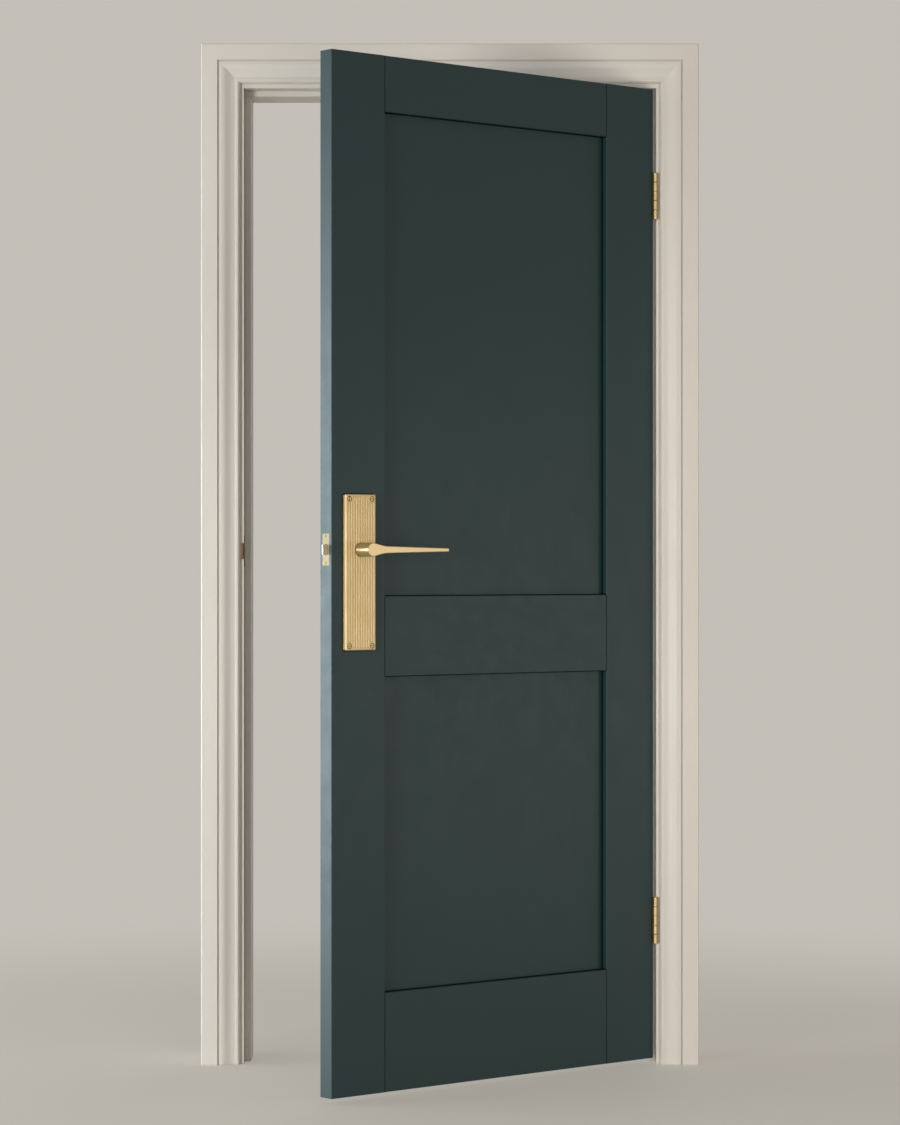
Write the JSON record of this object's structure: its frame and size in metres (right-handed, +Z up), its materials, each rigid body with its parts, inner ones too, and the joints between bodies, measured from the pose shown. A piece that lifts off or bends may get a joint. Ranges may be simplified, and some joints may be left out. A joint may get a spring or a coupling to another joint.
{
  "type": "panel door in its frame",
  "caption": "Two-panel timber door ajar in a moulded frame, on butt hinges, with reeded back plates, lever handles and a working latch.",
  "frame": {"origin": "middle of the doorway between the linings, at finished floor level, in the plane of the wall's front face, where the front architraves bear on the wall", "axes": "+X to the hinge side, +Y through the wall away from the side that the leaf opens to, +Z up"},
  "size_m": [1.016, 0.7029, 2.0855],
  "materials": {
    "leaf_paint": "satin paint, dark blue-green grey",
    "frame_paint": "satin paint, warm white",
    "brass": "satin",
    "steel": "zinc plated",
    "spring_steel": "oiled wire",
    "nylon": "moulded"
  },
  "bodies": {
    "frame": {"hinge_jamb": "frame_paint", "latch_jamb": "frame_paint", "head_jamb": "frame_paint", "hinge_stop": "frame_paint", "latch_stop": "frame_paint", "head_stop": "frame_paint", "front_hinge_architrave": "frame_paint", "front_latch_architrave": "frame_paint", "front_head_architrave": "frame_paint", "rear_hinge_architrave": "frame_paint", "rear_latch_architrave": "frame_paint", "rear_head_architrave": "frame_paint", "strike_plate": "brass", "strike_plate_screws": "brass", "upper_hinge_frame_leaf": "brass", "lower_hinge_frame_leaf": "brass", "upper_hinge_pin": "brass", "lower_hinge_pin": "brass", "frame_hinge_screws": "brass"},
    "leaf": {"lock_stile": "leaf_paint", "hinge_stile": "leaf_paint", "top_rail": "leaf_paint", "middle_rail": "leaf_paint", "bottom_rail": "leaf_paint", "upper_panel": "leaf_paint", "lower_panel": "leaf_paint", "upper_hinge_door_leaf": "brass", "lower_hinge_door_leaf": "brass", "door_hinge_screws": "brass", "latch_case": "steel", "latch_cover": "steel", "latch_faceplate": "brass", "latch_faceplate_screws": "brass", "bolt_spring": "spring_steel", "front_back_plate": "brass", "rear_back_plate": "brass", "front_plate_screws": "brass", "rear_plate_screws": "brass", "front_lever_bush": "nylon", "rear_lever_bush": "nylon"},
    "handle": {"front_lever": "brass", "rear_lever": "brass", "spindle": "steel", "latch_follower": "steel", "lever_grub_screws": "steel", "lever_retaining_rings": "steel"},
    "bolt": {"latch_bolt": "brass"}
  },
  "joints": [
    {"name": "door_swing", "type": "hinge", "parent": "frame", "child": "leaf", "pos_m": [0.4205, -0.0055, 0], "axis": [0, 0, 1], "range_deg": [-40.3, 119.7]},
    {"name": "handle_turn", "type": "hinge", "parent": "leaf", "child": "handle", "pos_m": [-0.18544, -0.48922, 1.0495], "axis": [-0.6468, 0.7627, 0], "range_deg": [0, 50], "stiffness_Nm_per_rad": 1.2, "springref_deg": -51.57},
    {"name": "latch_retract", "type": "slide", "parent": "leaf", "child": "bolt", "axis": [0.7627, 0.6468, 0], "range_m": [0, 0.012], "deforming": ["bolt_spring"]}
  ],
  "couplings": [
    {"joint": "latch_retract", "follows": "handle_turn", "m_per_rad": 0.01375}
  ]
}
